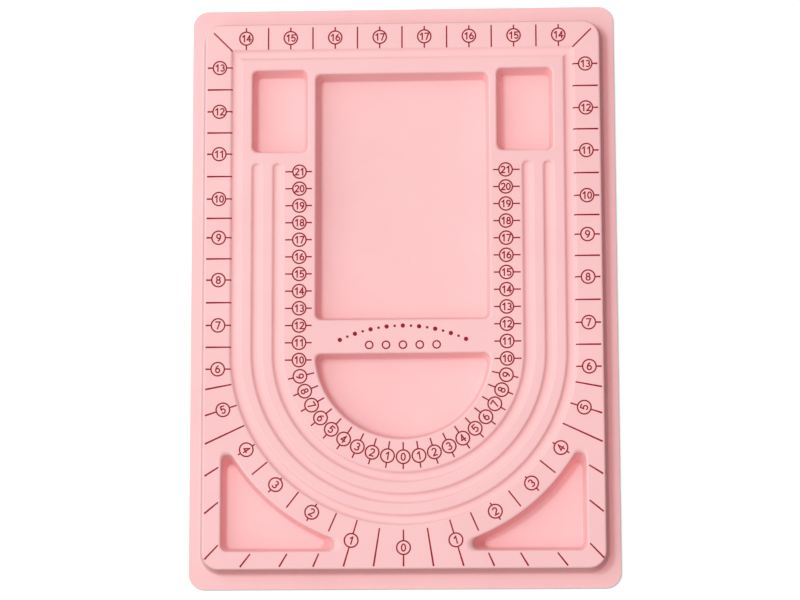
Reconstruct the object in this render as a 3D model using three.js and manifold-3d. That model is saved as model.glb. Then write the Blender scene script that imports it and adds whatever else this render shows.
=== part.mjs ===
// A bead design board: one thin plastic sheet formed over a mould into a raised board with trays
// and bead grooves, its upper face covered by a soft coat of flock.
// Units are millimetres. X is across the board, Y along it, Z up, and the board rests on Z = 0.
import * as THREE from 'three';
import { mergeVertices, toCreasedNormals } from 'three/addons/utils/BufferGeometryUtils.js';
import Module from 'manifold-3d';

const wasm = await Module();
wasm.setup();

// Overall size, over the trimmed flange
const BOARD_WIDTH = 245;
const BOARD_LENGTH = 337;
const BOARD_HEIGHT = 13;
const FLANGE_CORNER = 9;

// Thickness of the two bonded layers
const SHEET_THICKNESS = 0.9;
const FLOCK_THICKNESS = 0.5;
const WALL_THICKNESS = SHEET_THICKNESS + FLOCK_THICKNESS;

// How the sheet is formed: draft of every wall, the radii at its rim and foot, and the least
// radius that the underside of a rim can have
const WALL_DRAFT = THREE.MathUtils.degToRad(11);
const RIM_FILLET = 1.4;
const FLOOR_FILLET = 1.2;
const BOWL_FLOOR_FILLET = 3;
const LEAST_FILLET = 0.3;

// Distance from the flange's edge to the raised land, and the land's corner radius
const SIDE_MARGIN = 9.7;
const END_MARGIN = 12.1;
const LAND_CORNER = 8.5;

// Bead grooves: three nested U shapes, the outer one closed along the far side
const GROOVE_WIDTH = 7.8;
const GROOVE_DEPTH = 2;
const GROOVE_FLAT = 0.8;
const GROOVE_RIM_FILLET = 1.6;
const GROOVE_PITCH = 12.1;
const SHORT_GROOVES = 2;

// Widths of the flat land left between the features
const SCALE_BAND = 13;
const NEAR_SCALE_BAND = 22.4;
const CENTIMETRE_BAND = 16.5;
const TITLE_BAND = 17.1;
const RIB_LAND = 4.2;
const DIVIDER_LAND = 2.2;
const MAIN_TRAY_LAND = 6.7;
const CORNER_TRAY_ARC_LAND = 12.4;
const CORNER_TRAY_SIDE_LAND = 8.2;
const CORNER_TRAY_END_LAND = 7.8;

// Trays
const SMALL_TRAY_WIDTH = 34.5;
const SMALL_TRAY_LENGTH = 50.7;
const TRAY_CORNER = 4;
const TRAY_FLOOR_CORNER = 2.5;
const CORNER_TRAY_CORNER = 4.5;

// Fineness of the facets
const CORNER_STEPS = 4;
const RIM_STEPS = 2;
const FLOOR_STEPS = 2;
const BOWL_FLOOR_STEPS = 4;
const GROOVE_STEPS = 2;
const GROOVE_END_STEPS = 6;
const GROOVE_ARC_STEPS = 24;
const BOWL_ARC_STEPS = 16;
const CORNER_TRAY_ARC_STEPS = 6;

// Room that a cutting shape keeps above the land, and a solid below the resting face
const CUT_ROOM = 5;

// Levels and positions that follow from the sizes above
const FLOOR_LEVEL = WALL_THICKNESS;
const LAND_X = BOARD_WIDTH / 2 - SIDE_MARGIN;
const LAND_Y = BOARD_LENGTH / 2 - END_MARGIN;
const GROOVE_HALF = GROOVE_WIDTH / 2;
const OUTER_GROOVE_RADIUS = LAND_X - SCALE_BAND - GROOVE_HALF;
const OUTER_GROOVE_TOP = LAND_Y - SCALE_BAND - GROOVE_HALF;
const INNER_GROOVE_RADIUS = OUTER_GROOVE_RADIUS - SHORT_GROOVES * GROOVE_PITCH;
const U_CENTRE = [0, NEAR_SCALE_BAND + GROOVE_HALF + OUTER_GROOVE_RADIUS - LAND_Y];
const FIELD_X = OUTER_GROOVE_RADIUS - GROOVE_HALF;
const FIELD_TOP = OUTER_GROOVE_TOP - GROOVE_HALF;
const SMALL_TRAY_OUTER = FIELD_X - RIB_LAND;
const SMALL_TRAY_INNER = SMALL_TRAY_OUTER - SMALL_TRAY_WIDTH;
const SMALL_TRAY_TOP = FIELD_TOP - RIB_LAND;
const SMALL_TRAY_BOTTOM = SMALL_TRAY_TOP - SMALL_TRAY_LENGTH;
const SHORT_GROOVE_END = SMALL_TRAY_BOTTOM - RIB_LAND - GROOVE_HALF;
const MAIN_TRAY_X = SMALL_TRAY_INNER - DIVIDER_LAND;
const MAIN_TRAY_TOP = FIELD_TOP - MAIN_TRAY_LAND;
const MAIN_TRAY_BOTTOM = U_CENTRE[1] + TITLE_BAND;
const BOWL_RADIUS = INNER_GROOVE_RADIUS - GROOVE_HALF - CENTIMETRE_BAND;
const CORNER_TRAY_ARC = OUTER_GROOVE_RADIUS + GROOVE_HALF + CORNER_TRAY_ARC_LAND;
const CORNER_TRAY_X = LAND_X - CORNER_TRAY_SIDE_LAND;
const CORNER_TRAY_Y = CORNER_TRAY_END_LAND - LAND_Y;

// A straight side of an outline, with its inward normal
function lineSide(normalX, normalY, x, y) {
  return { normal: [normalX, normalY], at: normalX * x + normalY * y };
}

// A side that follows a circle about the centre of the U; the outline lies inside or outside it
function arcSide(radius, inside, steps) {
  return { radius, sign: inside ? -1 : 1, steps };
}

// Where two sides meet after both move inwards by a distance; an arc meets a line twice, and
// the meeting nearest to a given point counts
function meeting(sideA, sideB, shift, near) {
  const line = sideA.normal ? sideA : sideB;
  const other = line === sideA ? sideB : sideA;
  const [a, b] = line.normal;
  const reach = line.at + shift;
  if (other.normal) {
    const [c, d] = other.normal;
    const across = other.at + shift;
    const area = a * d - b * c;
    return [(reach * d - b * across) / area, (a * across - reach * c) / area];
  }
  const radius = other.radius + other.sign * shift;
  const height = reach - a * U_CENTRE[0] - b * U_CENTRE[1];
  const half = Math.sqrt(radius * radius - height * height);
  const choices = [1, -1].map((s) => [
    U_CENTRE[0] + a * height - b * half * s,
    U_CENTRE[1] + b * height + a * half * s,
  ]);
  const distances = choices.map(([x, y]) => Math.hypot(x - near[0], y - near[1]));
  return distances[0] < distances[1] ? choices[0] : choices[1];
}

// Direction from a corner's centre to the point where it touches a side
function touchAngle(centre, side) {
  if (side.normal) return Math.atan2(-side.normal[1], -side.normal[0]);
  const outwards = Math.atan2(centre[1] - U_CENTRE[1], centre[0] - U_CENTRE[0]);
  return side.sign < 0 ? outwards : outwards + Math.PI;
}

function pointsOnArc(centre, radius, from, to, steps) {
  const points = [];
  for (let i = 0; i <= steps; i++) {
    const angle = from + ((to - from) * i) / steps;
    points.push([centre[0] + radius * Math.cos(angle), centre[1] + radius * Math.sin(angle)]);
  }
  return points;
}

function angleFromU(point) {
  return Math.atan2(point[1] - U_CENTRE[1], point[0] - U_CENTRE[0]);
}

function turnForward(from, to, sign) {
  const turn = THREE.MathUtils.euclideanModulo(sign * (to - from), 2 * Math.PI);
  return from + sign * turn;
}

// Closed outline of a tray, counter-clockwise: its sides move inwards and its corners are rounded
function outline(shape, inset, cornerRadius) {
  const { sides, corners } = shape;
  const rounded = sides.map((side, i) => {
    const next = sides[(i + 1) % sides.length];
    const centre = meeting(side, next, inset + cornerRadius, corners[i]);
    const from = touchAngle(centre, side);
    const to = turnForward(from, touchAngle(centre, next), 1);
    return pointsOnArc(centre, cornerRadius, from, to, CORNER_STEPS);
  });
  const points = [];
  rounded.forEach((corner, i) => {
    points.push(...corner);
    const side = sides[(i + 1) % sides.length];
    if (side.normal) return;
    const from = angleFromU(corner[corner.length - 1]);
    const to = turnForward(from, angleFromU(rounded[(i + 1) % rounded.length][0]), -side.sign);
    const radius = side.radius + side.sign * inset;
    points.push(...pointsOnArc(U_CENTRE, radius, from, to, side.steps).slice(1, -1));
  });
  return points;
}

function rectangleShape(left, right, bottom, top) {
  return {
    sides: [
      lineSide(0, 1, 0, bottom),
      lineSide(-1, 0, right, 0),
      lineSide(0, -1, 0, top),
      lineSide(1, 0, left, 0),
    ],
    corners: [[right, bottom], [right, top], [left, top], [left, bottom]],
  };
}

function bowlShape() {
  return {
    sides: [arcSide(BOWL_RADIUS, true, BOWL_ARC_STEPS), lineSide(0, -1, 0, U_CENTRE[1])],
    corners: [[BOWL_RADIUS, U_CENTRE[1]], [-BOWL_RADIUS, U_CENTRE[1]]],
  };
}

// Three-sided tray in the near left corner; its long side follows the bead grooves
function cornerTrayShape() {
  const square = [-CORNER_TRAY_X, CORNER_TRAY_Y];
  return {
    sides: [
      lineSide(0, 1, ...square),
      arcSide(CORNER_TRAY_ARC, false, CORNER_TRAY_ARC_STEPS),
      lineSide(1, 0, ...square),
    ],
    corners: [square, square, square],
  };
}

// Section of a formed wall from its foot up to its rim, as [distance from the rim line, level].
// The surface lies `depth` below the flocked face: rim radii shrink by it and floor radii grow.
// Where a rim radius would vanish, a least one is set in the corner between wall and land.
function wallSection(floorFillet, depth) {
  const straight = BOARD_HEIGHT - FLOOR_LEVEL - RIM_FILLET - floorFillet;
  const run = (RIM_FILLET + floorFillet + straight * Math.sin(WALL_DRAFT)) / Math.cos(WALL_DRAFT);
  const rimRadius = Math.max(RIM_FILLET - depth, LEAST_FILLET);
  const sink = RIM_FILLET - depth - rimRadius;
  const rimCentre = [
    (sink * (1 - Math.sin(WALL_DRAFT))) / Math.cos(WALL_DRAFT),
    BOARD_HEIGHT - RIM_FILLET + sink,
  ];
  const foot = pointsOnArc(
    [run, FLOOR_LEVEL + floorFillet],
    floorFillet + depth,
    1.5 * Math.PI,
    Math.PI + WALL_DRAFT,
    floorFillet > FLOOR_FILLET ? BOWL_FLOOR_STEPS : FLOOR_STEPS,
  );
  const rim = pointsOnArc(rimCentre, rimRadius, WALL_DRAFT, 0.5 * Math.PI, RIM_STEPS);
  return [...foot, ...rim];
}

// Half section of a groove from its flat bed up to its rim, as [distance from the middle, level]
function grooveSection(depth) {
  const bed = GROOVE_FLAT / 2;
  const span = GROOVE_HALF - bed;
  const radii = (span * span + GROOVE_DEPTH * GROOVE_DEPTH) / (2 * GROOVE_DEPTH);
  const bedFillet = radii - GROOVE_RIM_FILLET;
  const steepest = Math.acos(1 - GROOVE_DEPTH / radii);
  const lower = pointsOnArc(
    [bed, BOARD_HEIGHT - GROOVE_DEPTH + bedFillet],
    bedFillet + depth,
    -0.5 * Math.PI,
    steepest - 0.5 * Math.PI,
    GROOVE_STEPS,
  );
  const upper = pointsOnArc(
    [GROOVE_HALF, BOARD_HEIGHT - GROOVE_RIM_FILLET],
    GROOVE_RIM_FILLET - depth,
    0.5 * Math.PI + steepest,
    0.5 * Math.PI,
    GROOVE_STEPS,
  );
  return [...lower, ...upper.slice(1)];
}

// Skin through a row of rings with equal point counts; open rows are capped at both ends
function loft(rings, closed) {
  const count = rings[0].length;
  const positions = rings.flat(2);
  const index = [];
  const spans = closed ? rings.length : rings.length - 1;
  for (let i = 0; i < spans; i++) {
    const low = i * count;
    const high = ((i + 1) % rings.length) * count;
    for (let j = 0; j < count; j++) {
      const k = (j + 1) % count;
      index.push(low + j, low + k, high + k);
      index.push(low + j, high + k, high + j);
    }
  }
  if (!closed) {
    const last = (rings.length - 1) * count;
    for (const [a, b, c] of capTriangles(rings[0])) index.push(c, b, a);
    for (const [a, b, c] of capTriangles(rings[rings.length - 1])) index.push(last + a, last + b, last + c);
  }
  const geometry = new THREE.BufferGeometry();
  geometry.setAttribute('position', new THREE.Float32BufferAttribute(positions, 3));
  geometry.setIndex(index);
  return toSolid(geometry);
}

function capTriangles(ring) {
  const contour = ring.map(([x, y]) => new THREE.Vector2(x, y));
  return THREE.ShapeUtils.triangulateShape(contour, []);
}

function toSolid(geometry) {
  const merged = mergeVertices(geometry, 1e-4);
  return new wasm.Manifold(new wasm.Mesh({
    numProp: 3,
    vertProperties: new Float32Array(merged.attributes.position.array),
    triVerts: new Uint32Array(merged.index.array),
  }));
}

function atLevel(points, level) {
  return points.map(([x, y]) => [x, y, level]);
}

function mirrored(points) {
  return points.map(([x, y]) => [-x, y]).reverse();
}

// Cutting shape of one tray: rings from its floor up to the rim, then straight up past the land
function trayCutter(shape, rimCorner, floorFillet, depth, place = (points) => points) {
  const section = wallSection(floorFillet, depth);
  const run = section[0][0];
  const rings = section.map(([inset, level]) => {
    const corner = THREE.MathUtils.lerp(rimCorner, TRAY_FLOOR_CORNER, inset / run);
    return atLevel(place(outline(shape, inset, corner)), level);
  });
  rings.push(atLevel(place(outline(shape, 0, rimCorner)), BOARD_HEIGHT + CUT_ROOM));
  return loft(rings, false);
}

// Outline of a U-shaped band about a groove's middle line, with round ends
function bandOutline(radius, half) {
  const left = [-radius, SHORT_GROOVE_END];
  const right = [radius, SHORT_GROOVE_END];
  return [
    ...pointsOnArc(U_CENTRE, radius + half, Math.PI, 2 * Math.PI, GROOVE_ARC_STEPS),
    ...pointsOnArc(right, half, 0, Math.PI, GROOVE_END_STEPS),
    ...pointsOnArc(U_CENTRE, radius - half, 2 * Math.PI, Math.PI, GROOVE_ARC_STEPS),
    ...pointsOnArc(left, half, 0, Math.PI, GROOVE_END_STEPS),
  ];
}

function shortGrooveCutter(radius, depth) {
  const rings = grooveSection(depth).map(([half, level]) => atLevel(bandOutline(radius, half), level));
  rings.push(atLevel(bandOutline(radius, GROOVE_HALF), BOARD_HEIGHT + CUT_ROOM));
  return loft(rings, false);
}

// The outer groove runs right round: its section is swept along the U and mitred at the far corners
function loopGrooveCutter(depth) {
  const half = grooveSection(depth);
  const outer = [[GROOVE_HALF, BOARD_HEIGHT + CUT_ROOM], ...[...half].reverse()];
  const section = [...outer, ...[...outer].reverse().map(([offset, level]) => [-offset, level])];
  const stations = [[-1, OUTER_GROOVE_TOP, -1, 1]];
  for (const [x, y] of pointsOnArc([0, 0], 1, Math.PI, 2 * Math.PI, GROOVE_ARC_STEPS)) {
    stations.push([x, U_CENTRE[1] + OUTER_GROOVE_RADIUS * y, x, y]);
  }
  stations.push([1, OUTER_GROOVE_TOP, 1, 1]);
  const rings = stations.map(([x, y, outX, outY]) =>
    section.map(([offset, level]) => [x * OUTER_GROOVE_RADIUS + outX * offset, y + outY * offset, level]),
  );
  return loft(rings, true);
}

// The raised board on its flange, filled solid, with its surface `depth` below the flocked face
function boardBlock(depth) {
  const land = rectangleShape(-LAND_X, LAND_X, -LAND_Y, LAND_Y);
  const edgeX = BOARD_WIDTH / 2;
  const edgeY = BOARD_LENGTH / 2;
  const edge = outline(rectangleShape(-edgeX, edgeX, -edgeY, edgeY), 0, FLANGE_CORNER);
  const rings = [atLevel(edge, -CUT_ROOM), atLevel(edge, FLOOR_LEVEL - depth)];
  for (const [distance, level] of wallSection(FLOOR_FILLET, depth)) {
    rings.push(atLevel(outline(land, -distance, LAND_CORNER + distance), level));
  }
  return loft(rings, false);
}

// Everything under the surface that lies `depth` below the flocked face
function underSurface(depth) {
  const mainTray = rectangleShape(-MAIN_TRAY_X, MAIN_TRAY_X, MAIN_TRAY_BOTTOM, MAIN_TRAY_TOP);
  const smallTray = rectangleShape(SMALL_TRAY_INNER, SMALL_TRAY_OUTER, SMALL_TRAY_BOTTOM, SMALL_TRAY_TOP);
  const cornerTray = cornerTrayShape();
  const cutters = [
    trayCutter(mainTray, TRAY_CORNER, FLOOR_FILLET, depth),
    trayCutter(smallTray, TRAY_CORNER, FLOOR_FILLET, depth),
    trayCutter(smallTray, TRAY_CORNER, FLOOR_FILLET, depth, mirrored),
    trayCutter(bowlShape(), TRAY_CORNER, BOWL_FLOOR_FILLET, depth),
    trayCutter(cornerTray, CORNER_TRAY_CORNER, FLOOR_FILLET, depth),
    trayCutter(cornerTray, CORNER_TRAY_CORNER, FLOOR_FILLET, depth, mirrored),
    loopGrooveCutter(depth),
  ];
  for (let i = 1; i <= SHORT_GROOVES; i++) {
    cutters.push(shortGrooveCutter(OUTER_GROOVE_RADIUS - i * GROOVE_PITCH, depth));
  }
  return boardBlock(depth).subtract(wasm.Manifold.union(cutters));
}

function toMesh(name, solid, material) {
  const { vertProperties, triVerts } = solid.getMesh();
  const geometry = new THREE.BufferGeometry();
  geometry.setAttribute('position', new THREE.BufferAttribute(new Float32Array(vertProperties), 3));
  geometry.setIndex(new THREE.BufferAttribute(new Uint32Array(triVerts), 1));
  const mesh = new THREE.Mesh(toCreasedNormals(geometry, THREE.MathUtils.degToRad(40)), material);
  mesh.name = name;
  return mesh;
}

function flockMaterial() {
  return new THREE.MeshStandardMaterial({ color: 0xf9c3c6, roughness: 0.95, metalness: 0 });
}

function sheetMaterial() {
  return new THREE.MeshStandardMaterial({ color: 0xefc6c4, roughness: 0.5, metalness: 0 });
}

const flockedFace = underSurface(0);
const bondedFace = underSurface(FLOCK_THICKNESS);
const hollowFace = underSurface(WALL_THICKNESS);

const board = new THREE.Group();
board.name = 'bead_board';
board.add(
  toMesh('formed_sheet', bondedFace.subtract(hollowFace), sheetMaterial()),
  toMesh('flock_coat', flockedFace.subtract(bondedFace), flockMaterial()),
);

export default board;
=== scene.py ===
"""Looks of a bead design board: a formed plastic sheet with a flocked face and printed scales.

Sizes are in millimetres, as in the part's source, and are turned into metres when a mesh is made.
X is across the board, Y along it, Z up, and the board rests on Z = 0.
"""

import math

import bpy
from mathutils import Matrix, Vector
from mathutils.bvhtree import BVHTree
from mathutils.geometry import tessellate_polygon


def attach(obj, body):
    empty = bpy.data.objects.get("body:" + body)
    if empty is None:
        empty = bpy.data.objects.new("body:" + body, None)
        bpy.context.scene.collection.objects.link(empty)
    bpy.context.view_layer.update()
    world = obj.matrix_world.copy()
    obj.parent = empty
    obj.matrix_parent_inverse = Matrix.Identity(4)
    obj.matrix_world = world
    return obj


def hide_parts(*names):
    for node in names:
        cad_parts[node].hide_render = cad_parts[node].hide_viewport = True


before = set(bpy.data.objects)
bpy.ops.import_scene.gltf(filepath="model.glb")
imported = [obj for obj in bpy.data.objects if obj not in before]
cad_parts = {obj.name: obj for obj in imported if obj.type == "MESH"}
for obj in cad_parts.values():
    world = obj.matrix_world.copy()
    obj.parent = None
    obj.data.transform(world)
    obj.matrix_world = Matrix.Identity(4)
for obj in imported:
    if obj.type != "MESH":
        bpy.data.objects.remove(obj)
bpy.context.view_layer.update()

MM = 0.001
QUARTER = math.pi / 2
SIDES = (-1, 1)
BODY = "root"

# Overall size, over the trimmed flange
BOARD_WIDTH = 245
BOARD_LENGTH = 337
BOARD_HEIGHT = 13
FLANGE_CORNER = 9

# Layers; the pile ends below the height of the board by as much as the ink rises from it
SHEET_THICKNESS = 0.9
FLOCK_THICKNESS = 0.5
WALL_THICKNESS = SHEET_THICKNESS + FLOCK_THICKNESS
INK_RISE = 0.05
PILE_DEPTH = INK_RISE
EDGE_ROUND = 0.3

# How the sheet is formed
WALL_DRAFT = math.radians(11)
RIM_FILLET = 1.4
FLOOR_FILLET = 1.2
BOWL_FLOOR_FILLET = 3
LEAST_FILLET = 0.3
SIDE_MARGIN = 9.7
END_MARGIN = 12.1
LAND_CORNER = 8.5

# Bead grooves
GROOVE_WIDTH = 7.8
GROOVE_DEPTH = 2
GROOVE_FLAT = 0.8
GROOVE_RIM_FILLET = 1.6
GROOVE_PITCH = 12.1
SHORT_GROOVES = 2

# Widths of the flat land left between the features
SCALE_BAND = 13
NEAR_SCALE_BAND = 22.4
CENTIMETRE_BAND = 16.5
TITLE_BAND = 17.1
RIB_LAND = 4.2
DIVIDER_LAND = 2.2
MAIN_TRAY_LAND = 6.7
CORNER_TRAY_ARC_LAND = 12.4
CORNER_TRAY_SIDE_LAND = 8.2
CORNER_TRAY_END_LAND = 7.8

# Trays
SMALL_TRAY_WIDTH = 34.5
SMALL_TRAY_LENGTH = 50.7
TRAY_CORNER = 4
TRAY_FLOOR_CORNER = 2.5
CORNER_TRAY_CORNER = 4.5

# Levels and positions that follow from the sizes above
FLOOR_LEVEL = WALL_THICKNESS
LAND_X = BOARD_WIDTH / 2 - SIDE_MARGIN
LAND_Y = BOARD_LENGTH / 2 - END_MARGIN
GROOVE_HALF = GROOVE_WIDTH / 2
LOOP_RADIUS = LAND_X - SCALE_BAND - GROOVE_HALF
LOOP_TOP = LAND_Y - SCALE_BAND - GROOVE_HALF
INNER_GROOVE_RADIUS = LOOP_RADIUS - SHORT_GROOVES * GROOVE_PITCH
U_CENTRE = Vector((0, NEAR_SCALE_BAND + GROOVE_HALF + LOOP_RADIUS - LAND_Y))
FIELD_X = LOOP_RADIUS - GROOVE_HALF
FIELD_TOP = LOOP_TOP - GROOVE_HALF
SMALL_TRAY_OUTER = FIELD_X - RIB_LAND
SMALL_TRAY_INNER = SMALL_TRAY_OUTER - SMALL_TRAY_WIDTH
SMALL_TRAY_TOP = FIELD_TOP - RIB_LAND
SMALL_TRAY_BOTTOM = SMALL_TRAY_TOP - SMALL_TRAY_LENGTH
SHORT_GROOVE_END = SMALL_TRAY_BOTTOM - RIB_LAND - GROOVE_HALF
MAIN_TRAY_X = SMALL_TRAY_INNER - DIVIDER_LAND
MAIN_TRAY_TOP = FIELD_TOP - MAIN_TRAY_LAND
MAIN_TRAY_BOTTOM = U_CENTRE.y + TITLE_BAND
BOWL_RADIUS = INNER_GROOVE_RADIUS - GROOVE_HALF - CENTIMETRE_BAND
CORNER_TRAY_ARC = LOOP_RADIUS + GROOVE_HALF + CORNER_TRAY_ARC_LAND
CORNER_TRAY_X = LAND_X - CORNER_TRAY_SIDE_LAND
CORNER_TRAY_Y = CORNER_TRAY_END_LAND - LAND_Y

# Fineness of the curves
CORNER_STEPS = 10
FILLET_STEPS = 7
GROOVE_STEPS = 6
GROOVE_END_STEPS = 16
ARC_STEPS = 96
TRAY_ARC_STEPS = 48
RING_STEPS = 48
DIGIT_STEPS = 20
TICK_STATION = 0.5

# Ink; marks that run into each other differ by a hair in height
INK_WIDTH = 0.8
OVERRUN_WIDTH = 1.0
STROKE_STEP = 0.006
RING_RADIUS = 3.85
DIGIT_HEIGHT = 3.95
PAIR_HEIGHT = 3.65
PAIR_PITCH = 3.0
DIGIT_PEN = 0.76
LAND_GAP = 0.2

# Inch scale along both sides
INCH_SIDE_X = 105.6
INCH_SIDE_Y = (132.0, 106.1, 81.1, 54.8, 32.2, 7.6, -18.6, -43.8)
INCH_SIDE_FIRST = 13
INCH_SIDE_INNER = 98.2

# Inch scale along the far end, with a slanting tick in each corner
INCH_TOP_Y = 149.3
INCH_TOP_PITCH = 25.8
INCH_TOP_NUMBERS = (17, 16, 15, 14)
INCH_TOP_INNER = 142.6
INCH_TOP_GAP = 0.9
DIAGONAL_BACK = 1.4
DIAGONAL_SPAN = 10.8

# Inch scale round the U, in half-inch steps from the board's near middle
INCH_ANGLE = math.radians(14.25)
INCH_LEAD = math.radians(0.95)
INCH_LEAN = math.radians(1.5)
INCH_ARC_RADII = (111.5, 111.3, 105.0, 104.6, 105.0, 107.6)
INCH_HALF_STEPS = 12
INCH_TRAY_STEPS = range(3, 9)
INCH_LEANING_STEPS = range(1, 6)
INCH_MIDDLE_STEPS = range(2)
INCH_MIDDLE_START = 101.4
INCH_TICK_START = 99.4
INCH_TICK_TRAY_END = 110.6
INCH_TURNED_NUMBER = 5
LEAST_SINE = 1e-6

# Centimetre scale, straight beside the main tray and then round the bowl
CM_X = 59.2
CM_FIRST = 21
CM_STRAIGHT = 12
CM_TOP = 70.3
CM_PITCH = 9.93
CM_ANGLE = math.radians(8.5)
CM_RADIUS = 60.3
CM_TICK_INNER = 52.0
CM_TICK_OUTER = 67.3

# Plain printed beads on the band between the main tray and the bowl
BEAD_ARC_RADIUS = 85
BEAD_ARC_TOP = -19.6
BEAD_ARC_ANGLE = math.radians(25)
BEAD_COUNT = 17
BEAD_RADII = (1.25, 0.75)
BEAD_ROW_Y = -30.6
BEAD_ROW_COUNT = 5
BEAD_ROW_PITCH = 9.6
BEAD_ROW_RADIUS = 2.1

# Plain numerals as pen strokes, in shares of their height
NUMERALS = {
    "0": (("ring", (0, 0), (0.28, 0.5)),),
    "1": (("line", (-0.17, 0.28), (0.09, 0.5), (0.09, -0.5)),),
    "2": (
        ("arc", (0, 0.22), (0.28, 0.28), (165, -35)),
        ("line", (0.23, 0.06), (-0.24, -0.5), (0.27, -0.5)),
    ),
    "3": (
        ("arc", (-0.02, 0.24), (0.26, 0.26), (150, -90)),
        ("arc", (-0.02, -0.24), (0.3, 0.26), (90, -150)),
    ),
    "4": (("line", (0.12, -0.5), (0.12, 0.5), (-0.3, -0.2), (0.32, -0.2)),),
    "5": (
        ("line", (0.25, 0.5), (-0.2, 0.5), (-0.24, 0.02)),
        ("arc", (-0.01, -0.19), (0.29, 0.31), (140, -150)),
    ),
    "6": (
        ("ring", (0, -0.2), (0.28, 0.3)),
        ("arc", (0.24, -0.2), (0.52, 0.7), (180, 100)),
    ),
    "7": (("line", (-0.28, 0.5), (0.28, 0.5), (-0.08, -0.5)),),
    "8": (
        ("ring", (0, 0.25), (0.23, 0.25)),
        ("ring", (0, -0.24), (0.28, 0.26)),
    ),
    "9": (
        ("ring", (0, 0.2), (0.28, 0.3)),
        ("arc", (-0.24, 0.2), (0.52, 0.7), (0, -80)),
    ),
}

# Mottling of the surfaces: waves per metre, levels of detail and their roughness
FIBRES = (3200, 2, 0.6)
TUFTS = (420, 3, 0.6)
FLOCK_CLOUDS = (26, 3, 0.55)
SHEET_CLOUDS = (18, 4, 0.6)
SHEET_PEBBLES = (1500, 2, 0.5)
INK_PATCHES = (600, 3, 0.6)

# Colours at two levels of a mottling; painted shade deepens the pile's colour on a steep wall and fades
# out on level ground
FLOCK_COLOURS = ((0.3, (0.955, 0.555, 0.562)), (0.7, (0.985, 0.585, 0.592)))
FLOCK_FIBRE_SHADES = ((0.3, (0.96, 0.95, 0.95)), (0.7, (1.0, 1.0, 1.0)))
PAINTED_WALL_SHADES = ((0.15, (1.0, 0.92, 0.93)), (0.65, (1.0, 1.0, 1.0)))
SHEET_COLOURS = ((0.3, (0.80, 0.50, 0.49)), (0.7, (0.87, 0.57, 0.555)))
INK_COLOURS = ((0.35, (0.3, 0.006, 0.021)), (0.75, (0.44, 0.016, 0.044)))
INK_FIBRE_SHADES = ((0.3, (0.8, 0.7, 0.7)), (0.7, (1.0, 1.0, 1.0)))

# Finish of the surfaces; each bump has a strength and a height
FLOCK_ROUGHNESS = 0.95
FLOCK_GLOSS = 0.15
SHEEN = 0.2
SHEEN_ROUGHNESS = 0.5
SHEEN_TINT = (1.0, 0.5, 0.52, 1)
TUFT_BUMP = (0.25, 0.2)
FIBRE_BUMP = (0.35, 0.1)
SHEET_ROUGHNESS = (0.38, 0.55)
PEBBLE_BUMP = (0.2, 0.1)
INK_ROUGHNESS = 0.8
INK_GLOSS = 0.2
INK_BUMP = (0.3, 0.1)

# Floor, with a darker colour for what it throws back at the board and a glow that lights nothing else
FLOOR_SIZE = 6000
FLOOR_DROP = 0.2
FLOOR_COLOUR = (0.94, 0.94, 0.94, 1)
FLOOR_BOUNCE = (0.1, 0.1, 0.1, 1)
FLOOR_GLOW = (0.16, 0.25, 0.24, 1)

# Light: overhead sky, a glow from the left and a lamp
BACKDROP = (1, 1, 1, 1)
SKY_COLOUR = (1.0, 0.77, 0.78, 1)
SKY_STRENGTH = 1.52
SKY_AXIS = Vector((-0.15, 0, 1)).normalized()
SKY_FADE = 2
GLOW_COLOUR = (0.6, 1.0, 0.98, 1)
GLOW_STRENGTH = 1.35
GLOW_AXIS = Vector((-1, 0, 0))
GLOW_FADE = 2
LAMP_COLOUR = (0.6, 1.0, 0.98)
LAMP_PLACE = Vector((-330, 110, 975))
LAMP_TARGET = Vector((0, 0, 0))
LAMP_SIZE = 200
LAMP_POWER = 3.25

# Camera
CAMERA_PLACE = Vector((61.0, -238.8, 1532.9))
CAMERA_TARGET = Vector((-2.1, -2.9, 0))
CAMERA_ROLL = math.radians(-0.16)
CAMERA_LENS = 121.5
CAMERA_REACH = 100000
SENSOR_WIDTH = 36


def polar(angle, length=1.0):
    return Vector((math.cos(angle), math.sin(angle))) * length


def spread(start, end, steps):
    return [start + (end - start) * i / steps for i in range(steps + 1)]


def centred(index, count, pitch):
    """Place of one item of a row that has its middle at zero."""
    return (index - (count - 1) / 2) * pitch


# Outlines of the trays: lists of (place, direction into the tray), counter-clockwise


def line_side(normal, point):
    """A straight side through a point, with its normal into the tray."""
    return {"normal": Vector(normal), "at": Vector(normal).dot(Vector(point))}


def arc_side(radius, inside):
    """A side on a circle about the centre of the U, with the tray inside or outside of the circle."""
    return {"radius": radius, "sign": -1 if inside else 1}


def line_meeting(line, other, shift):
    """Where two straight sides meet after both move inwards."""
    normal = line["normal"]
    crossing = other["normal"]
    reach = line["at"] + shift
    across = other["at"] + shift
    cross = normal.x * crossing.y - normal.y * crossing.x
    x = (reach * crossing.y - normal.y * across) / cross
    y = (normal.x * across - reach * crossing.x) / cross
    return Vector((x, y))


def arc_meeting(line, arc, shift, near):
    """Where a straight side and an arc meet after both move inwards, at the place nearest to a point."""
    normal = line["normal"]
    radius = arc["radius"] + arc["sign"] * shift
    height = line["at"] + shift - normal.dot(U_CENTRE)
    half = math.sqrt(radius * radius - height * height)
    along = Vector((-normal.y, normal.x))
    foot = U_CENTRE + normal * height
    return min((foot + along * half, foot - along * half), key=lambda p: (p - Vector(near)).length)


def meeting(side_a, side_b, shift, near):
    """Where two sides that follow each other meet; at least one of them is straight."""
    line, other = (side_a, side_b) if "normal" in side_a else (side_b, side_a)
    if "normal" in other:
        return line_meeting(line, other, shift)
    return arc_meeting(line, other, shift, near)


def angle_from_u(point):
    offset = point - U_CENTRE
    return math.atan2(offset.y, offset.x)


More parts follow.
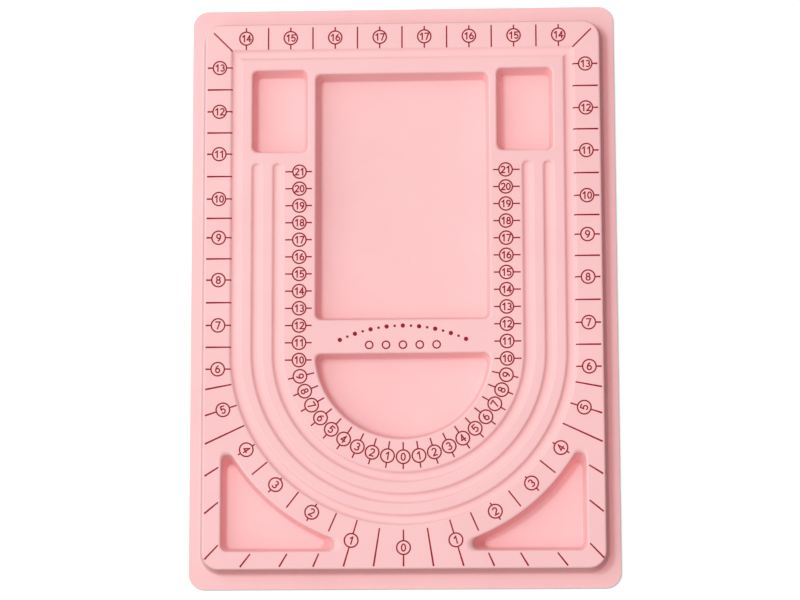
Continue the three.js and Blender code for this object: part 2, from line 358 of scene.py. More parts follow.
def touch_angle(centre, side):
    """Direction from a corner's centre to the point where it touches a side."""
    if "normal" in side:
        return math.atan2(-side["normal"].y, -side["normal"].x)
    angle = angle_from_u(centre)
    return angle if side["sign"] < 0 else angle + math.pi


def turn(start, end, sign):
    """The end angle, moved by whole turns to come after the start angle in one sense of turning."""
    return start + sign * ((sign * (end - start)) % math.tau)


def rounded_corner(side, following, near, inset, corner):
    centre = meeting(side, following, inset + corner, near)
    start = touch_angle(centre, side)
    end = turn(start, touch_angle(centre, following), 1)
    return [(centre + polar(a, corner), -polar(a)) for a in spread(start, end, CORNER_STEPS)]


def arc_between(side, inset, first, last):
    """The stretch of an arc side between two corners, without its ends."""
    sign = side["sign"]
    start = angle_from_u(first)
    end = turn(start, angle_from_u(last), -sign)
    radius = side["radius"] + sign * inset
    angles = spread(start, end, TRAY_ARC_STEPS)[1:-1]
    return [(U_CENTRE + polar(a, radius), polar(a) * sign) for a in angles]


def outline(shape, inset, corner):
    """A shape's outline moved inwards, with rounded corners."""
    sides, nears = shape
    followers = sides[1:] + sides[:1]
    corners = [rounded_corner(*meet, inset, corner) for meet in zip(sides, followers, nears)]
    points = []
    for side, arc, next_arc in zip(followers, corners, corners[1:] + corners[:1]):
        points += arc
        if "radius" in side:
            points += arc_between(side, inset, arc[-1][0], next_arc[0][0])
    return points


def mirrored(points):
    flip = Vector((-1, 1))
    return [(place * flip, direction * flip) for place, direction in reversed(points)]


def facing_out(points):
    return [(place, -direction) for place, direction in points]


def rectangle(left, right, bottom, top):
    sides = (
        line_side((0, 1), (0, bottom)),
        line_side((-1, 0), (right, 0)),
        line_side((0, -1), (0, top)),
        line_side((1, 0), (left, 0)),
    )
    return sides, ((right, bottom), (right, top), (left, top), (left, bottom))


def bowl():
    sides = (arc_side(BOWL_RADIUS, True), line_side((0, -1), U_CENTRE))
    return sides, ((BOWL_RADIUS, U_CENTRE.y), (-BOWL_RADIUS, U_CENTRE.y))


def corner_tray():
    square = (-CORNER_TRAY_X, CORNER_TRAY_Y)
    sides = (line_side((0, 1), square), arc_side(CORNER_TRAY_ARC, False), line_side((1, 0), square))
    return sides, (square, square, square)


def board_edge(inset):
    edge = rectangle(-BOARD_WIDTH / 2, BOARD_WIDTH / 2, -BOARD_LENGTH / 2, BOARD_LENGTH / 2)
    return facing_out(outline(edge, inset, FLANGE_CORNER - inset))


def band_outline(radius, half):
    """Outline of a U-shaped groove at a distance from its middle line, with directions outwards."""
    points = []
    for a in spread(math.pi, math.tau, ARC_STEPS):
        points.append((U_CENTRE + polar(a, radius + half), polar(a)))
    for a in spread(0, math.pi, GROOVE_END_STEPS):
        points.append((Vector((radius, SHORT_GROOVE_END)) + polar(a, half), polar(a)))
    for a in spread(math.tau, math.pi, ARC_STEPS):
        points.append((U_CENTRE + polar(a, radius - half), -polar(a)))
    for a in spread(0, math.pi, GROOVE_END_STEPS):
        points.append((Vector((-radius, SHORT_GROOVE_END)) + polar(a, half), polar(a)))
    return points


def loop_outline(offset):
    """The closed outer groove's middle line moved outwards, square at its far corners."""
    reach = LOOP_RADIUS + offset
    top = LOOP_TOP + offset
    points = [(Vector((-reach, top)), Vector((-1, 0)))]
    for a in spread(math.pi, math.tau, ARC_STEPS):
        points.append((U_CENTRE + polar(a, reach), polar(a)))
    points.append((Vector((reach, top)), Vector((1, 0))))
    points.append((Vector((reach, top)), Vector((0, 1))))
    points.append((Vector((-reach, top)), Vector((0, 1))))
    return points


# Sections: lists of (distance, level, normal along the distance, normal upwards)


def arc_section(centre, radius, start, end, steps, sign):
    """An arc whose normals point away from its centre, or towards it where the sign is negative."""
    section = []
    for a in spread(start, end, steps):
        place = Vector(centre) + polar(a, radius)
        section.append((place.x, place.y, sign * math.cos(a), sign * math.sin(a)))
    return section


def wall_section(floor_fillet, depth):
    """A formed wall from its foot up to its rim; distances run from the rim line."""
    sine = math.sin(WALL_DRAFT)
    cosine = math.cos(WALL_DRAFT)
    straight = BOARD_HEIGHT - FLOOR_LEVEL - RIM_FILLET - floor_fillet
    run = (RIM_FILLET + floor_fillet + straight * sine) / cosine
    rim_radius = max(RIM_FILLET - depth, LEAST_FILLET)
    sink = RIM_FILLET - depth - rim_radius
    rim_centre = (sink * (1 - sine) / cosine, BOARD_HEIGHT - RIM_FILLET + sink)
    foot_centre = (run, FLOOR_LEVEL + floor_fillet)
    foot_angles = (3 * QUARTER, 2 * QUARTER + WALL_DRAFT)
    foot = arc_section(foot_centre, floor_fillet + depth, *foot_angles, FILLET_STEPS, -1)
    rim = arc_section(rim_centre, rim_radius, WALL_DRAFT, QUARTER, FILLET_STEPS, 1)
    return foot + rim


def groove_section(depth):
    """Half a groove from its flat bed up to its rim; distances run from the middle line."""
    bed = GROOVE_FLAT / 2
    span = GROOVE_HALF - bed
    both_radii = (span * span + GROOVE_DEPTH * GROOVE_DEPTH) / (2 * GROOVE_DEPTH)
    bed_fillet = both_radii - GROOVE_RIM_FILLET
    steepest = math.acos(1 - GROOVE_DEPTH / both_radii)
    bed_centre = (bed, BOARD_HEIGHT - GROOVE_DEPTH + bed_fillet)
    rim_centre = (GROOVE_HALF, BOARD_HEIGHT - GROOVE_RIM_FILLET)
    lower = arc_section(bed_centre, bed_fillet + depth, -QUARTER, steepest - QUARTER, GROOVE_STEPS, -1)
    rim_radius = GROOVE_RIM_FILLET - depth
    upper = arc_section(rim_centre, rim_radius, QUARTER + steepest, QUARTER, GROOVE_STEPS, 1)
    return lower + upper[1:]


# The formed faces


class Skin:
    """Points with exact normals, and the faces between them."""

    def __init__(self):
        self.points = []
        self.normals = []
        self.faces = []

    def ring(self, ring_outline, level, along, upwards):
        start = len(self.points)
        for place, direction in ring_outline:
            self.points.append(Vector((place.x, place.y, level)))
            self.normals.append(Vector((direction.x * along, direction.y * along, upwards)))
        return list(range(start, len(self.points)))

    def strip(self, low, high):
        count = len(low)
        for i in range(count):
            k = (i + 1) % count
            self.faces.append((low[i], low[k], high[k], high[i]))

    def loft(self, rings):
        for low, high in zip(rings, rings[1:]):
            self.strip(low, high)

    def fill(self, loops):
        """Flat area inside the first loop and outside the others."""
        flat = [i for loop in loops for i in loop]
        for triangle in tessellate_polygon([[self.points[i] for i in loop] for loop in loops]):
            a, b, c = (flat[i] for i in triangle)
            facing = (self.points[b] - self.points[a]).cross(self.points[c] - self.points[a]).z
            self.faces.append((a, b, c) if facing > 0 else (a, c, b))

    def add(self, other, flipped=False):
        start = len(self.points)
        self.points += other.points
        self.normals += [-n for n in other.normals] if flipped else other.normals
        for face in other.faces:
            moved = [start + i for i in face]
            self.faces.append(tuple(reversed(moved)) if flipped else tuple(moved))


def outer_wall(skin, depth, edge_inset):
    """The flange and the wall up to the land; returns the loop of the land's rim."""
    land = rectangle(-LAND_X, LAND_X, -LAND_Y, LAND_Y)
    rings = [skin.ring(board_edge(edge_inset), FLOOR_LEVEL - depth, 0, 1)]
    for distance, level, along, upwards in wall_section(FLOOR_FILLET, depth):
        ring = outline(land, -distance, LAND_CORNER + distance)
        rings.append(skin.ring(facing_out(ring), level, along, upwards))
    skin.loft(rings)
    return rings[-1]


def tray(skin, shape, rim_corner, floor_fillet, depth, mirror=False):
    """Wall and floor of one tray; returns the loop of its rim."""
    section = wall_section(floor_fillet, depth)
    run = section[0][0]
    rings = []
    for inset, level, along, upwards in section:
        corner = rim_corner + (TRAY_FLOOR_CORNER - rim_corner) * inset / run
        ring = outline(shape, inset, corner)
        rings.append(skin.ring(mirrored(ring) if mirror else ring, level, along, upwards))
    skin.fill([rings[0]])
    skin.loft(rings[::-1])
    return rings[-1]


def short_groove(skin, radius, depth):
    """One of the inner grooves; returns the loop of its rim."""
    rings = []
    for half, level, along, upwards in groove_section(depth):
        rings.append(skin.ring(band_outline(radius, half), level, along, upwards))
    skin.fill([rings[0]])
    skin.loft(rings[::-1])
    return rings[-1]


def loop_groove(skin, depth):
    """The outer groove; returns the loops of its inner and outer rims."""
    section = groove_section(depth)
    rings = []
    for half, level, along, upwards in reversed(section):
        rings.append(skin.ring(loop_outline(-half), level, -along, upwards))
    for half, level, along, upwards in section:
        rings.append(skin.ring(loop_outline(half), level, along, upwards))
    skin.loft(rings[::-1])
    return rings[0], rings[-1]


def field_features(skin, depth):
    """The trays, the bowl and the grooves inside the outer groove; returns the loops of their rims."""
    main = rectangle(-MAIN_TRAY_X, MAIN_TRAY_X, MAIN_TRAY_BOTTOM, MAIN_TRAY_TOP)
    small = rectangle(SMALL_TRAY_INNER, SMALL_TRAY_OUTER, SMALL_TRAY_BOTTOM, SMALL_TRAY_TOP)
    rims = [tray(skin, main, TRAY_CORNER, FLOOR_FILLET, depth)]
    for mirror in (False, True):
        rims.append(tray(skin, small, TRAY_CORNER, FLOOR_FILLET, depth, mirror))
    rims.append(tray(skin, bowl(), TRAY_CORNER, BOWL_FLOOR_FILLET, depth))
    for i in range(SHORT_GROOVES):
        rims.append(short_groove(skin, LOOP_RADIUS - (i + 1) * GROOVE_PITCH, depth))
    return rims


def formed_face(depth, edge_inset):
    """The face that lies `depth` below the height of the board, from the flange's edge inwards."""
    skin = Skin()
    land_rim = outer_wall(skin, depth, edge_inset)
    corner_rims = []
    for mirror in (False, True):
        corner_rims.append(tray(skin, corner_tray(), CORNER_TRAY_CORNER, FLOOR_FILLET, depth, mirror))
    field_rims = field_features(skin, depth)
    inner_rim, outer_rim = loop_groove(skin, depth)
    skin.fill([land_rim, outer_rim] + corner_rims)
    skin.fill([inner_rim] + field_rims)
    return skin


def edge_band(top_level, bottom_level, round_over):
    """The trimmed edge of a layer, softly rounded at its top."""
    skin = Skin()
    rings = [skin.ring(board_edge(0), bottom_level, 1, 0)]
    for a in spread(0, QUARTER, FILLET_STEPS):
        inset = round_over * (1 - math.cos(a))
        level = top_level - round_over * (1 - math.sin(a))
        rings.append(skin.ring(board_edge(inset), level, math.cos(a), math.sin(a)))
    skin.loft(rings)
    return skin


def place_mesh(name, mesh, material):
    mesh.materials.append(material)
    piece = bpy.data.objects.new(name, mesh)
    bpy.context.collection.objects.link(piece)
    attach(piece, BODY)
    return piece


def make_piece(name, skin, material):
    mesh = bpy.data.meshes.new(name)
    mesh.from_pydata([p * MM for p in skin.points], [], skin.faces)
    mesh.shade_smooth()
    mesh.normals_split_custom_set_from_vertices([n.normalized() for n in skin.normals])
    return place_mesh(name, mesh, material)


# Materials


def new_material(name):
    material = bpy.data.materials.new(name)
    material.use_nodes = True
    nodes = material.node_tree.nodes
    return material, nodes, material.node_tree.links, nodes["Principled BSDF"]


def noise_on(nodes, links, mottling):
    place = nodes.new("ShaderNodeTexCoord")
    noise = nodes.new("ShaderNodeTexNoise")
    for name, value in zip(("Scale", "Detail", "Roughness"), mottling):
        noise.inputs[name].default_value = value
    links.new(place.outputs["Object"], noise.inputs["Vector"])
    return noise.outputs["Fac"]


def ramp_on(nodes, links, factor, stops):
    ramp = nodes.new("ShaderNodeValToRGB")
    elements = ramp.color_ramp.elements
    for element, (position, colour) in zip(elements, stops):
        element.position = position
        element.color = (*colour, 1)
    links.new(factor, ramp.inputs["Fac"])
    return ramp.outputs["Color"]


def multiply_colours(nodes, links, first, second):
    mix = nodes.new("ShaderNodeMix")
    mix.data_type = "RGBA"
    mix.blend_type = "MULTIPLY"
    mix.inputs["Factor"].default_value = 1
    links.new(first, mix.inputs["A"])
    links.new(second, mix.inputs["B"])
    return mix.outputs["Result"]


def bump_on(nodes, links, shader, texture, strength_and_height, under=None):
    strength, height = strength_and_height
    bump = nodes.new("ShaderNodeBump")
    bump.inputs["Strength"].default_value = strength
    bump.inputs["Distance"].default_value = height * MM
    links.new(texture, bump.inputs["Height"])
    if under:
        links.new(under, bump.inputs["Normal"])
    links.new(bump.outputs["Normal"], shader.inputs["Normal"])
    return bump.outputs["Normal"]


def level_share(nodes, links):
    """One where a face is level and zero where it is upright."""
    place = nodes.new("ShaderNodeTexCoord")
    split = nodes.new("ShaderNodeSeparateXYZ")
    links.new(place.outputs["Normal"], split.inputs["Vector"])
    return split.outputs["Z"]


def flock_material():
    """Short dense pile: fine fibre speckle, soft clouds where it leans, painted shade that deepens the
    pink on steep walls, and a velvet edge glow.
    """
    material, nodes, links, shader = new_material("pink_flock")
    clouds = noise_on(nodes, links, FLOCK_CLOUDS)
    fibres = noise_on(nodes, links, FIBRES)
    tufts = noise_on(nodes, links, TUFTS)
    base = ramp_on(nodes, links, clouds, FLOCK_COLOURS)
    speckle = ramp_on(nodes, links, fibres, FLOCK_FIBRE_SHADES)
    # Painted shade: steep walls get a deeper, redder pink than level ground
    painted_shade = ramp_on(nodes, links, level_share(nodes, links), PAINTED_WALL_SHADES)
    pile = multiply_colours(nodes, links, base, speckle)
    links.new(multiply_colours(nodes, links, pile, painted_shade), shader.inputs["Base Color"])
    shader.inputs["Roughness"].default_value = FLOCK_ROUGHNESS
    shader.inputs["Specular IOR Level"].default_value = FLOCK_GLOSS
    shader.inputs["Sheen Weight"].default_value = SHEEN
    shader.inputs["Sheen Roughness"].default_value = SHEEN_ROUGHNESS
    shader.inputs["Sheen Tint"].default_value = SHEEN_TINT
    soft = bump_on(nodes, links, shader, tufts, TUFT_BUMP)
    bump_on(nodes, links, shader, fibres, FIBRE_BUMP, soft)
    return material


def sheet_material():
    """Thin formed polystyrene: dull pink with faint flow clouds and a fine pebbled surface."""
    material, nodes, links, shader = new_material("formed_sheet_plastic")
    clouds = noise_on(nodes, links, SHEET_CLOUDS)
    pebbles = noise_on(nodes, links, SHEET_PEBBLES)
    links.new(ramp_on(nodes, links, clouds, SHEET_COLOURS), shader.inputs["Base Color"])
    rough = nodes.new("ShaderNodeMapRange")
    rough.inputs["To Min"].default_value = SHEET_ROUGHNESS[0]
    rough.inputs["To Max"].default_value = SHEET_ROUGHNESS[1]
    links.new(clouds, rough.inputs["Value"])
    links.new(rough.outputs["Result"], shader.inputs["Roughness"])
    bump_on(nodes, links, shader, pebbles, PEBBLE_BUMP)
    return material


def ink_material():
    """Red print soaked into the pile: fibres break it up, so it is never one flat red."""
    material, nodes, links, shader = new_material("red_print")
    fibres = noise_on(nodes, links, FIBRES)
    patches = noise_on(nodes, links, INK_PATCHES)
    deep = ramp_on(nodes, links, patches, INK_COLOURS)
    speckle = ramp_on(nodes, links, fibres, INK_FIBRE_SHADES)
    links.new(multiply_colours(nodes, links, deep, speckle), shader.inputs["Base Color"])
    shader.inputs["Roughness"].default_value = INK_ROUGHNESS
    shader.inputs["Specular IOR Level"].default_value = INK_GLOSS
    bump_on(nodes, links, shader, fibres, INK_BUMP)
    return material


# Printing


def ring_places(centre, radius):
    return [centre + polar(math.tau * i / RING_STEPS, radius) for i in range(RING_STEPS)]


def arc_places(centre, half_sizes, degrees):
    """Places along an arc of an ellipse."""
    first, last = (math.radians(d) for d in degrees)
    return [Vector(centre) + polar(a) * Vector(half_sizes) for a in spread(first, last, DIGIT_STEPS)]


def numeral_strokes(digit):
    """Strokes of a numeral: a row of places, and whether it closes on itself.

    A bent line is given by its points, a ring by its centre and half sizes, and an arc also by its
    first and last angle in degrees.
    """
    for kind, *shape in NUMERALS[digit]:
        if kind == "arc":
            yield arc_places(*shape), False
        elif kind == "ring":
            yield arc_places(*shape, (0, 360))[:-1], True
        else:
            corners = [Vector(p) for p in shape]
            for stretch in zip(corners, corners[1:]):
                yield stretch, False


class Print:
    """Films of ink that follow the flocked face, gathered into one mesh."""

    def __init__(self, face):
        self.tree = BVHTree.FromPolygons(face.points, face.faces)
        self.points = []
        self.faces = []

    def drape(self, place):
        """The face's point and normal below a place."""
        above = Vector((place.x, place.y, 2 * BOARD_HEIGHT))
        point, normal, _, _ = self.tree.ray_cast(above, Vector((0, 0, -1)))
        return point, normal

    def block(self, rows, closed):
        """Skin over rows of four points each: top left, top right, bottom right, bottom left."""
        start = len(self.points)
        self.points += [p for row in rows for p in row]
        spans = len(rows) if closed else len(rows) - 1
        for i in range(spans):
            a = start + 4 * i
            b = start + 4 * ((i + 1) % len(rows))
            for j in range(4):
                k = (j + 1) % 4
                self.faces.append((a + j, a + k, b + k, b + j))
        if not closed:
            end = start + 4 * (len(rows) - 1)
            self.faces.append((start + 3, start + 2, start + 1, start))
            self.faces.append((end, end + 1, end + 2, end + 3))

    def row(self, left, right, rise):
        """Four points of ink: two above the face and two sunk into it."""
        over = []
        under = []
        for place in (left, right):
            point, normal = self.drape(place)
            over.append(point + normal * rise)
            under.append(point - normal * INK_RISE)
        return over + [under[1], under[0]]

    def line(self, start, end, end_width=INK_WIDTH):
        """A straight tick, a hair lower than the rings that it runs into."""
        direction = (end - start).normalized()
        across = Vector((-direction.y, direction.x))
        rows = []
        for share in spread(0, 1, max(2, math.ceil((end - start).length / TICK_STATION))):
            middle = start.lerp(end, share)
            half = across * (INK_WIDTH + (end_width - INK_WIDTH) * share) / 2
            rows.append(self.row(middle + half, middle - half, INK_RISE - STROKE_STEP))
        self.block(rows, False)

    def band(self, places, width, closed, rise=INK_RISE):
        """A bent strip of ink along a row of places."""
        last = len(places) - 1
        rows = []
        for i, place in enumerate(places):
            before = places[i - 1] if closed or i > 0 else place
            after = places[(i + 1) % len(places)] if closed or i < last else place
            along = (after - before).normalized()
            across = Vector((-along.y, along.x)) * width / 2
            rows.append(self.row(place + across, place - across, rise))
        self.block(rows, closed)

    def circle(self, centre, radius):
        self.band(ring_places(centre, radius), INK_WIDTH, True)

    def dot(self, centre, radius):
        start = len(self.points)
        top = start + RING_STEPS
        rim = ring_places(centre, radius)
        for lift in (-INK_RISE, INK_RISE):
            self.points += [Vector((p.x, p.y, self.drape(p)[0].z + lift)) for p in rim]
        for i in range(RING_STEPS):
            k = (i + 1) % RING_STEPS
            self.faces.append((start + i, start + k, top + k, top + i))
        self.faces.append(tuple(range(top, top + RING_STEPS)))
        self.faces.append(tuple(range(top - 1, start - 1, -1)))

    def stroke(self, places, closed, rise):
        """One stroke of the pen; a straight one reaches half a pen past its ends."""
        if len(places) == 2:
            cap = (places[1] - places[0]).normalized() * DIGIT_PEN / 2
            places = [places[0] - cap, places[1] + cap]
        self.band(places, DIGIT_PEN, closed, rise)

    def number(self, value, centre, angle):
        """A number's digits side by side; each stroke lies a hair lower than the one before it."""
        digits = str(value)
        turn_by = Matrix.Rotation(angle, 2)
        scaled = turn_by * (DIGIT_HEIGHT if len(digits) == 1 else PAIR_HEIGHT)
        for i, digit in enumerate(digits):
            origin = centre + turn_by @ Vector((centred(i, len(digits), PAIR_PITCH), 0))
            for k, (stroke, closed) in enumerate(numeral_strokes(digit)):
                places = [origin + scaled @ p for p in stroke]
                self.stroke(places, closed, INK_RISE - k * STROKE_STEP)

    def roundel(self, value, centre, angle):
        self.circle(centre, RING_RADIUS)
        self.number(value, centre, angle)

    def numbered_tick(self, value, inner, centre, outer, end_width=INK_WIDTH, angle=0):
        """A ringed number on a tick that runs from an inner to an outer place."""
        to_ring = (outer - inner).normalized() * RING_RADIUS
        self.line(inner, centre - to_ring)
        self.line(centre + to_ring, outer, end_width)
        self.roundel(value, centre, angle)

    def piece(self, name, material):
        mesh = bpy.data.meshes.new(name)
        mesh.from_pydata([p * MM for p in self.points], [], self.faces)
        return place_mesh(name, mesh, material)


def from_u(angle, radius):
    """A place at an angle from the board's near middle, counted about the centre of the U."""
    return U_CENTRE + Vector((math.sin(angle), -math.cos(angle))) * radius


def land_reach(angle):
    """Distance from the centre of the U to the ends of the ticks beside the land's rim."""
    side = (LAND_X - LAND_GAP) / max(abs(math.sin(angle)), LEAST_SINE)
    near = (U_CENTRE.y + LAND_Y - LAND_GAP) / max(math.cos(angle), LEAST_SINE)
    return min(side, near)


def tray_far_rim(angle):
    """Distance from the centre of the U to the outer rim of a corner tray."""
    side = CORNER_TRAY_X / max(abs(math.sin(angle)), LEAST_SINE)
    near = (U_CENTRE.y - CORNER_TRAY_Y) / math.cos(angle)
    return min(side, near)


def inch_angle(step, radius):
    """Angle of a half-inch step; the ticks near the middle lean outwards as they leave the groove."""
    inches = step / 2
    angle = INCH_ANGLE * inches + INCH_LEAD * min(inches, 1)
    lean = INCH_LEAN if step in INCH_LEANING_STEPS else 0
    return angle + math.sin(lean) * (radius - INCH_TICK_START) / radius


def inch_tick(ink, side, step, start, end, end_width=INK_WIDTH):
    places = [from_u(side * inch_angle(step, r), r) for r in (start, end)]
    ink.line(*places, end_width)


def tick_beyond_tray(ink, side, step, reach):
    """The end of a tick that shows again between a corner tray and the land's rim."""
    angle = inch_angle(step, reach)
    inch_tick(ink, side, step, tray_far_rim(angle) + LAND_GAP, land_reach(angle), OVERRUN_WIDTH)


def inch_number(ink, side, step, start, end, end_width):
    """A ringed inch number on its tick; one number on the left is printed a quarter turn round."""
    value = step // 2
    radius = INCH_ARC_RADII[value]
    inch_tick(ink, side, step, start, radius - RING_RADIUS)
    inch_tick(ink, side, step, radius + RING_RADIUS, end, end_width)
    angle = side * inch_angle(step, radius)
    turned = side < 0 and value == INCH_TURNED_NUMBER
    ink.roundel(value, from_u(angle, radius), angle + QUARTER if turned else angle)


def inch_arc(ink, side):
    """Half of the inch scale round the U; the right half has the mark at the middle."""
    for step in range(0 if side > 0 else 1, INCH_HALF_STEPS):
        start = INCH_MIDDLE_START if step in INCH_MIDDLE_STEPS else INCH_TICK_START
        end = land_reach(inch_angle(step, CORNER_TRAY_ARC))
        end_width = OVERRUN_WIDTH
        if step in INCH_TRAY_STEPS:
            tick_beyond_tray(ink, side, step, end)
            end = INCH_TICK_TRAY_END
            end_width = INK_WIDTH
        mark = inch_tick if step % 2 else inch_number
        mark(ink, side, step, start, end, end_width)


def inch_side(ink, side):
    """Numbers up one side of the board, and a plain tick half way between each two."""
    tick_x = (INCH_SIDE_INNER, INCH_SIDE_X, LAND_X - LAND_GAP)
    for i, y in enumerate(INCH_SIDE_Y):
        places = [Vector((side * x, y)) for x in tick_x]
        ink.numbered_tick(INCH_SIDE_FIRST - i, *places, OVERRUN_WIDTH)
    for upper, lower in zip(INCH_SIDE_Y, INCH_SIDE_Y[1:]):
        inner, _, outer = (Vector((side * x, (upper + lower) / 2)) for x in tick_x)
        ink.line(inner, outer, OVERRUN_WIDTH)


def inch_top(ink):
    """Numbers along the far end, plain ticks between them, and a slanting tick in each corner."""
    tick_y = (INCH_TOP_INNER, INCH_TOP_Y, LAND_Y - INCH_TOP_GAP)
    for i, value in enumerate(INCH_TOP_NUMBERS):
        for side in SIDES:
            places = [Vector((side * (i + 0.5) * INCH_TOP_PITCH, y)) for y in tick_y]
            ink.numbered_tick(value, *places)
    last = len(INCH_TOP_NUMBERS) - 1
    for i in range(-last, last + 1):
        inner, _, outer = (Vector((i * INCH_TOP_PITCH, y)) for y in tick_y)
        ink.line(inner, outer)
    for side in SIDES:
        corner = Vector((side * (FIELD_X + GROOVE_WIDTH), FIELD_TOP + GROOVE_WIDTH))
        outwards = Vector((side, 1))
        ink.line(corner - outwards * DIAGONAL_BACK, corner + outwards * (DIAGONAL_SPAN - DIAGONAL_BACK))


def centimetre_side(ink, side):
    for i in range(CM_STRAIGHT):
        y = CM_TOP - i * CM_PITCH
        places = [Vector((side * x, y)) for x in (CM_TICK_INNER, CM_X, CM_TICK_OUTER)]
        ink.numbered_tick(CM_FIRST - i, *places)


def centimetre_arc(ink, side):
    """Half of the centimetre scale round the bowl; the right half has the mark at the middle."""
    for value in range(0 if side > 0 else 1, CM_FIRST - CM_STRAIGHT + 1):
        angle = side * CM_ANGLE * value
        places = [from_u(angle, radius) for radius in (CM_TICK_INNER, CM_RADIUS, CM_TICK_OUTER)]
        ink.numbered_tick(value, *places, angle=angle)


def printed_beads(ink):
    """A plain arc of beads over a short row of rings."""
    centre = Vector((0, BEAD_ARC_TOP - BEAD_ARC_RADIUS))
    for i, a in enumerate(spread(-BEAD_ARC_ANGLE, BEAD_ARC_ANGLE, BEAD_COUNT - 1)):
        place = centre + Vector((math.sin(a), math.cos(a))) * BEAD_ARC_RADIUS
        ink.dot(place, BEAD_RADII[i % len(BEAD_RADII)])
    for i in range(BEAD_ROW_COUNT):
        ink.circle(Vector((centred(i, BEAD_ROW_COUNT, BEAD_ROW_PITCH), BEAD_ROW_Y)), BEAD_ROW_RADIUS)


# Floor, light and camera


def seen_directly(nodes, links):
    """One where a ray comes from the camera, a mirror or glass, and zero for scattered light."""
    rays = nodes.new("ShaderNodeLightPath")
    total = rays.outputs["Is Camera Ray"]
    for kind in ("Is Glossy Ray", "Is Transmission Ray"):
        either = nodes.new("ShaderNodeMath")
        either.operation = "MAXIMUM"
        links.new(total, either.inputs[0])
        links.new(rays.outputs[kind], either.inputs[1])
        total = either.outputs["Value"]
    return total


def floor_material():
    material, nodes, links, shader = new_material("pale_floor")
    tone = nodes.new("ShaderNodeMix")
    tone.data_type = "RGBA"
    tone.inputs["A"].default_value = FLOOR_BOUNCE
    tone.inputs["B"].default_value = FLOOR_COLOUR
    seen = seen_directly(nodes, links)
    links.new(seen, tone.inputs["Factor"])
    links.new(tone.outputs["Result"], shader.inputs["Base Color"])
    shader.inputs["Emission Color"].default_value = FLOOR_GLOW
    links.new(seen, shader.inputs["Emission Strength"])
    shader.inputs["Roughness"].default_value = 1
    shader.inputs["Specular IOR Level"].default_value = 0
    return material


def make_floor():
    half = FLOOR_SIZE / 2
    corners = [(-half, -half), (half, -half), (half, half), (-half, half)]
    mesh = bpy.data.meshes.new("floor")
    mesh.from_pydata([Vector((x, y, -FLOOR_DROP)) * MM for x, y in corners], [], [(0, 1, 2, 3)])
    mesh.materials.append(floor_material())
    floor = bpy.data.objects.new("floor", mesh)
    bpy.context.collection.objects.link(floor)


def math_node(nodes, links, operation, first, second):
    node = nodes.new("ShaderNodeMath")
    node.operation = operation
    links.new(first, node.inputs[0])
    node.inputs[1].default_value = second
    return node.outputs["Value"]


def sky_light(nodes, links, axis, fade, strength, colour):
    """Light that is strongest along an axis and fades to nothing at right angles to it."""
    place = nodes.new("ShaderNodeTexCoord")
    share = nodes.new("ShaderNodeVectorMath")
    share.operation = "DOT_PRODUCT"
    links.new(place.outputs["Generated"], share.inputs[0])
    share.inputs[1].default_value = axis
    positive = math_node(nodes, links, "MAXIMUM", share.outputs["Value"], 0)
    faded = math_node(nodes, links, "POWER", positive, fade)
    light = nodes.new("ShaderNodeBackground")
    light.inputs["Color"].default_value = colour
    links.new(math_node(nodes, links, "MULTIPLY", faded, strength), light.inputs["Strength"])
    return light.outputs["Background"]


def make_sky():
    """Warm light from overhead and a cooler glow from the left; the camera sees plain white instead."""
    world = bpy.data.worlds.new("studio")
    world.use_nodes = True
    nodes = world.node_tree.nodes
    links = world.node_tree.links
    overhead = sky_light(nodes, links, SKY_AXIS, SKY_FADE, SKY_STRENGTH, SKY_COLOUR)
    glow = sky_light(nodes, links, GLOW_AXIS, GLOW_FADE, GLOW_STRENGTH, GLOW_COLOUR)
    both = nodes.new("ShaderNodeAddShader")
    links.new(overhead, both.inputs[0])
    links.new(glow, both.inputs[1])
    seen = nodes["Background"]
    seen.inputs["Color"].default_value = BACKDROP
    seen.inputs["Strength"].default_value = 1
    mix = nodes.new("ShaderNodeMixShader")
    links.new(seen_directly(nodes, links), mix.inputs["Fac"])
    links.new(both.outputs["Shader"], mix.inputs[1])
    links.new(seen.outputs["Background"], mix.inputs[2])
    links.new(mix.outputs["Shader"], nodes["World Output"].inputs["Surface"])
    bpy.context.scene.world = world


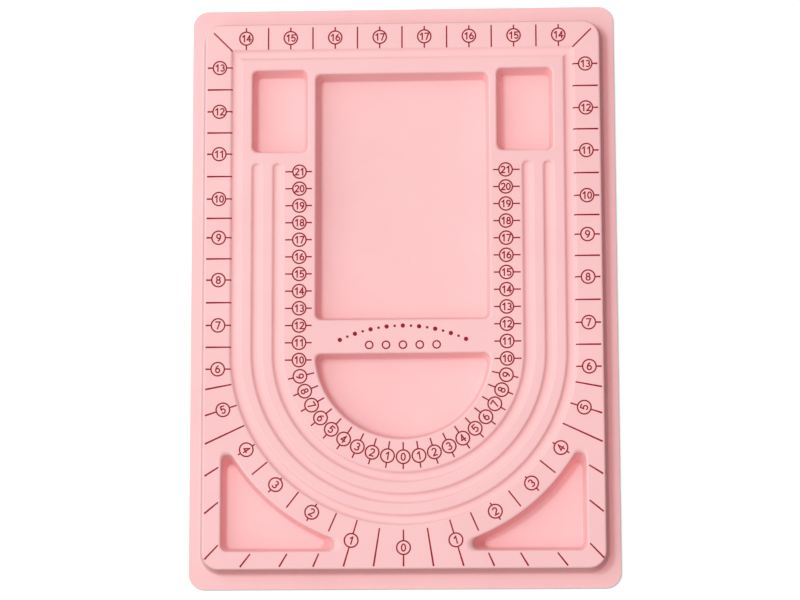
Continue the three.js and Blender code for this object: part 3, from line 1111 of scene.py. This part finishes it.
def make_lamp():
    """A round soft lamp over the board's left side."""
    light = bpy.data.lights.new("soft_lamp", "AREA")
    light.shape = "DISK"
    light.size = LAMP_SIZE * MM
    light.color = LAMP_COLOUR
    light.energy = LAMP_POWER
    lamp = bpy.data.objects.new("soft_lamp", light)
    lamp.location = LAMP_PLACE * MM
    lamp.rotation_euler = (LAMP_PLACE - LAMP_TARGET).to_track_quat("Z", "Y").to_euler()
    lamp.visible_camera = False
    bpy.context.collection.objects.link(lamp)


def make_camera():
    data = bpy.data.cameras.new("camera")
    data.sensor_width = SENSOR_WIDTH
    data.lens = CAMERA_LENS
    data.clip_end = CAMERA_REACH * MM
    camera = bpy.data.objects.new("camera", data)
    back = (CAMERA_PLACE - CAMERA_TARGET).normalized()
    right = Vector((0, 1, 0)).cross(back).normalized()
    facing = Matrix((right, back.cross(right), back)).transposed()
    turned = facing @ Matrix.Rotation(CAMERA_ROLL, 3, "Z")
    camera.matrix_world = Matrix.Translation(CAMERA_PLACE * MM) @ turned.to_4x4()
    bpy.context.collection.objects.link(camera)
    bpy.context.scene.camera = camera


# The board

pile_face = formed_face(PILE_DEPTH, EDGE_ROUND)
bond_face = formed_face(FLOCK_THICKNESS, 0)
hollow_face = formed_face(WALL_THICKNESS, 0)

flock = Skin()
flock.add(pile_face)
flock.add(edge_band(FLOOR_LEVEL - PILE_DEPTH, SHEET_THICKNESS, EDGE_ROUND))
flock.add(bond_face, flipped=True)
flock_piece = make_piece("flocked_face", flock, flock_material())
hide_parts("flock_coat")

sheet = Skin()
sheet.add(bond_face)
sheet.add(edge_band(SHEET_THICKNESS, 0, 0))
sheet.add(hollow_face, flipped=True)
sheet_piece = make_piece("sheet_shell", sheet, sheet_material())
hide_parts("formed_sheet")

# Its printing

red = ink_material()
inch_ink = Print(pile_face)
inch_arc(inch_ink, 1)
inch_arc(inch_ink, -1)
inch_side(inch_ink, 1)
inch_side(inch_ink, -1)
inch_top(inch_ink)
inch_ink.piece("inch_scale_print", red)

centimetre_ink = Print(pile_face)
for board_side in SIDES:
    centimetre_side(centimetre_ink, board_side)
    centimetre_arc(centimetre_ink, board_side)
centimetre_ink.piece("centimetre_scale_print", red)

bead_ink = Print(pile_face)
printed_beads(bead_ink)
bead_ink.piece("bead_row_print", red)

# Its surroundings

make_floor()
make_sky()
make_lamp()
make_camera()
bpy.context.scene.view_settings.view_transform = "Standard"
